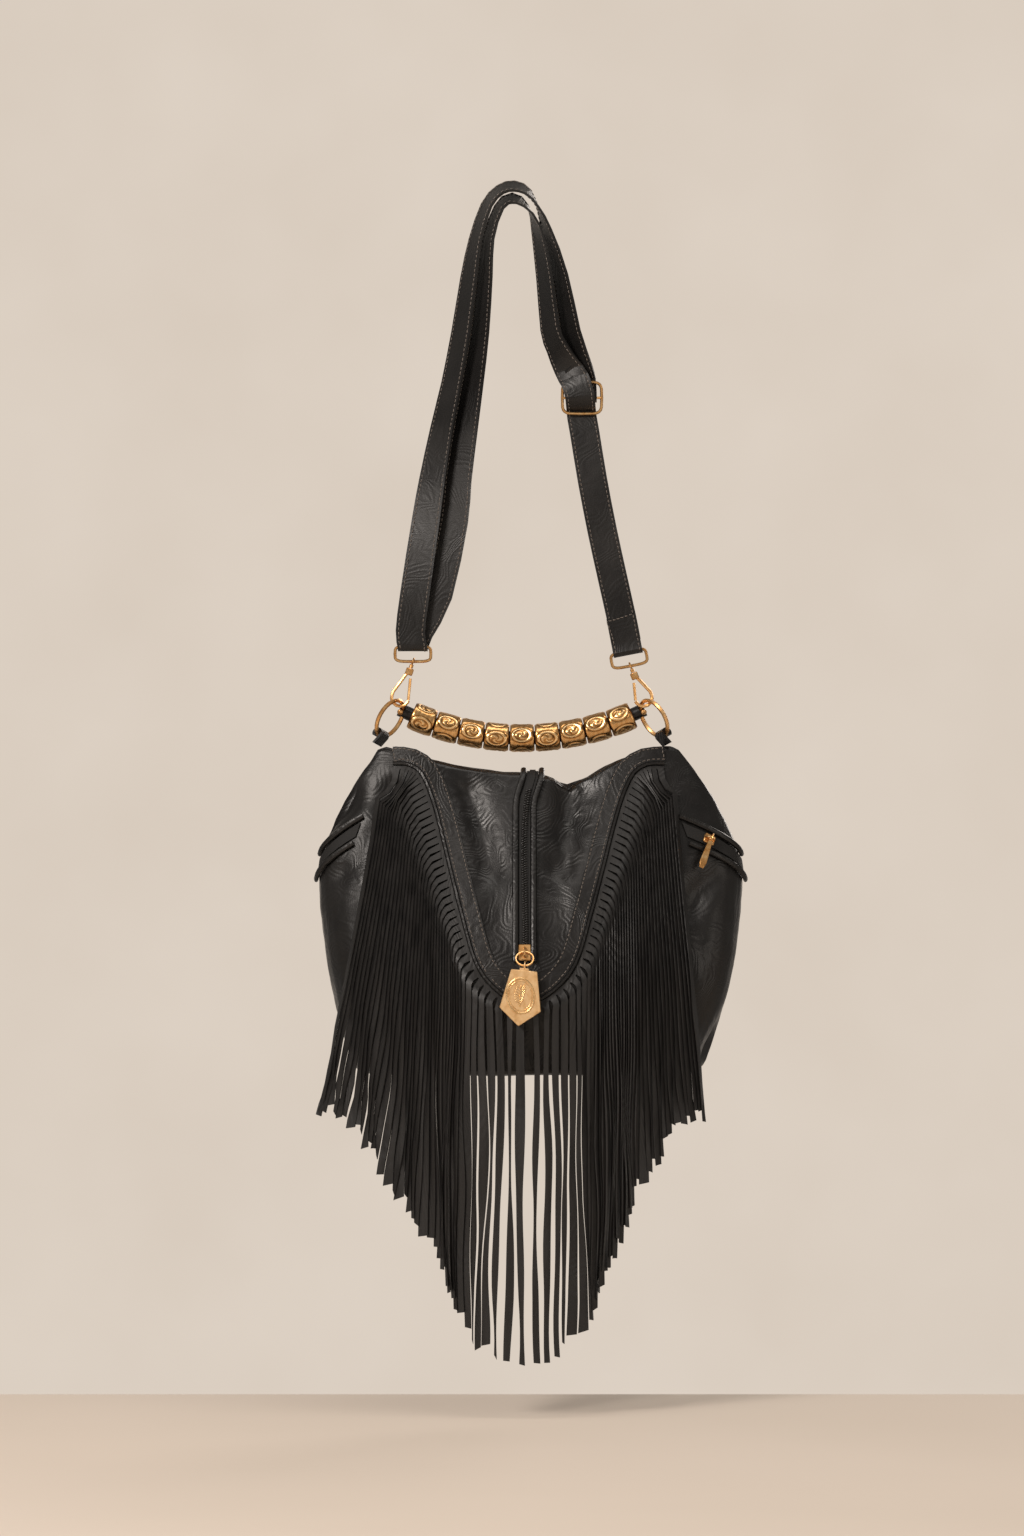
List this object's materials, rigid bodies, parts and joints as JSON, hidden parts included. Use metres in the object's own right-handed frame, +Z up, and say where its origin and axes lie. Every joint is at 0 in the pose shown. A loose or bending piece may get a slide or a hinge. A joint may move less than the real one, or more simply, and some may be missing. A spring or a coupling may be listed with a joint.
{
  "type": "fringed leather shoulder bag",
  "caption": "Soft boat-shaped leather shoulder bag with a U of long front fringe, a curved metal-clad top handle and a long doubled strap, hanging by the strap.",
  "frame": {"origin": "underside of the strap's top loop, where whatever holds the bag passes through", "axes": "+Z up, front of the bag towards -Y, +X to the right seen from the front"},
  "size_m": [0.3688, 0.1728, 0.9995],
  "materials": {
    "black_leather": "fine wrinkled grain, low sheen",
    "strip_leather": "thin smooth strips, soft sheen",
    "antique_gold": "polished warm gold with dark recesses",
    "pale_gold": "satin pale gold",
    "zip_black": "matte woven tape and moulded teeth"
  },
  "bodies": {
    "strap": {"shoulder_strap": "black_leather", "strap_end_tab": "black_leather", "strap_buckle": "antique_gold", "left_oval_ring": "antique_gold", "right_oval_ring": "antique_gold", "left_swivel_eye": "antique_gold", "right_swivel_eye": "antique_gold"},
    "left_clasp": {"left_clasp_hook": "antique_gold"},
    "right_clasp": {"right_clasp_hook": "antique_gold"},
    "left_gate": {"left_clasp_gate": "antique_gold"},
    "right_gate": {"right_clasp_gate": "antique_gold"},
    "bag": {"bag_body": "black_leather", "trim_band": "black_leather", "fringe_piping": "black_leather", "front_fringe": "strip_leather", "main_zip_chain": "zip_black", "zip_edge_left": "black_leather", "zip_edge_right": "black_leather", "left_pocket_upper_lip": "black_leather", "left_pocket_lower_lip": "black_leather", "left_pocket_zip": "zip_black", "right_pocket_upper_lip": "black_leather", "right_pocket_lower_lip": "black_leather", "right_pocket_zip": "zip_black", "left_big_ring": "antique_gold", "right_big_ring": "antique_gold", "left_ring_tab": "black_leather", "right_ring_tab": "black_leather"},
    "handle": {"handle_core": "black_leather", "handle_bead_1": "antique_gold", "handle_bead_2": "antique_gold", "handle_bead_3": "antique_gold", "handle_bead_4": "antique_gold", "handle_bead_5": "antique_gold", "handle_bead_6": "antique_gold", "handle_bead_7": "antique_gold", "handle_bead_8": "antique_gold", "handle_bead_9": "antique_gold"},
    "main_slider": {"main_slider": "antique_gold"},
    "pull_ring": {"pull_ring": "antique_gold"},
    "pull_pendant": {"pull_pendant": "pale_gold"},
    "left_side_slider": {"left_side_slider": "antique_gold"},
    "left_side_pull": {"left_side_pull": "antique_gold"},
    "right_side_slider": {"right_side_slider": "antique_gold"},
    "right_side_pull": {"right_side_pull": "antique_gold"}
  },
  "joints": [
    {"name": "left_clasp_swivel", "type": "hinge", "parent": "strap", "child": "left_clasp", "pos_m": [-0.0842, 0, -0.3881], "axis": [0.3328, 0, 0.943], "range_deg": [-10, 10]},
    {"name": "right_clasp_swivel", "type": "hinge", "parent": "strap", "child": "right_clasp", "pos_m": [0.10074, 0, -0.39188], "axis": [-0.3761, 0, 0.9266], "range_deg": [-10, 10]},
    {"name": "left_gate_hinge", "type": "hinge", "parent": "left_clasp", "child": "left_gate", "pos_m": [-0.08639, 0, -0.4025], "axis": [0, 1, 0], "range_deg": [0, 14], "stiffness_Nm_per_rad": 0.02, "springref_deg": -5.73},
    {"name": "right_gate_hinge", "type": "hinge", "parent": "right_clasp", "child": "right_gate", "pos_m": [0.10359, 0, -0.40616], "axis": [0, -1, 0], "range_deg": [0, 14], "stiffness_Nm_per_rad": 0.02, "springref_deg": -5.73},
    {"name": "bag_swing", "type": "hinge", "parent": "strap", "child": "bag", "pos_m": [0.0085, 0, -0.42572], "axis": [1, 0, 0], "range_deg": [-15, 15]},
    {"name": "handle_swing", "type": "hinge", "parent": "bag", "child": "handle", "pos_m": [0.0085, 0.014, -0.4333], "axis": [1, 0, 0], "range_deg": [-3, 3]},
    {"name": "main_slider_travel", "type": "slide", "parent": "bag", "child": "main_slider", "axis": [0, 0.2229, 0.9749], "range_m": [0, 0.02]},
    {"name": "pull_ring_hinge", "type": "hinge", "parent": "main_slider", "child": "pull_ring", "pos_m": [0.0106, -0.08094, -0.6323], "axis": [-1, 0, 0], "range_deg": [0, 60]},
    {"name": "pendant_hinge", "type": "hinge", "parent": "pull_ring", "child": "pull_pendant", "pos_m": [0.0106, -0.09045, -0.64364], "axis": [-1, 0, 0], "range_deg": [0, 40]},
    {"name": "left_side_slider_travel", "type": "slide", "parent": "bag", "child": "left_side_slider", "axis": [-0.8138, -0.2016, -0.5451], "range_m": [0, 0.008]},
    {"name": "right_side_slider_travel", "type": "slide", "parent": "bag", "child": "right_side_slider", "axis": [0.8848, 0.1963, -0.4226], "range_m": [0, 0.008]},
    {"name": "left_side_pull_hinge", "type": "hinge", "parent": "left_side_slider", "child": "left_side_pull", "pos_m": [-0.14389, 0.02647, -0.53511], "axis": [0.8138, 0.2016, 0.5451], "range_deg": [0, 60]},
    {"name": "right_side_pull_hinge", "type": "hinge", "parent": "right_side_slider", "child": "right_side_pull", "pos_m": [0.16879, -0.02959, -0.53716], "axis": [-0.8848, -0.1963, 0.4226], "range_deg": [0, 60]}
  ]
}
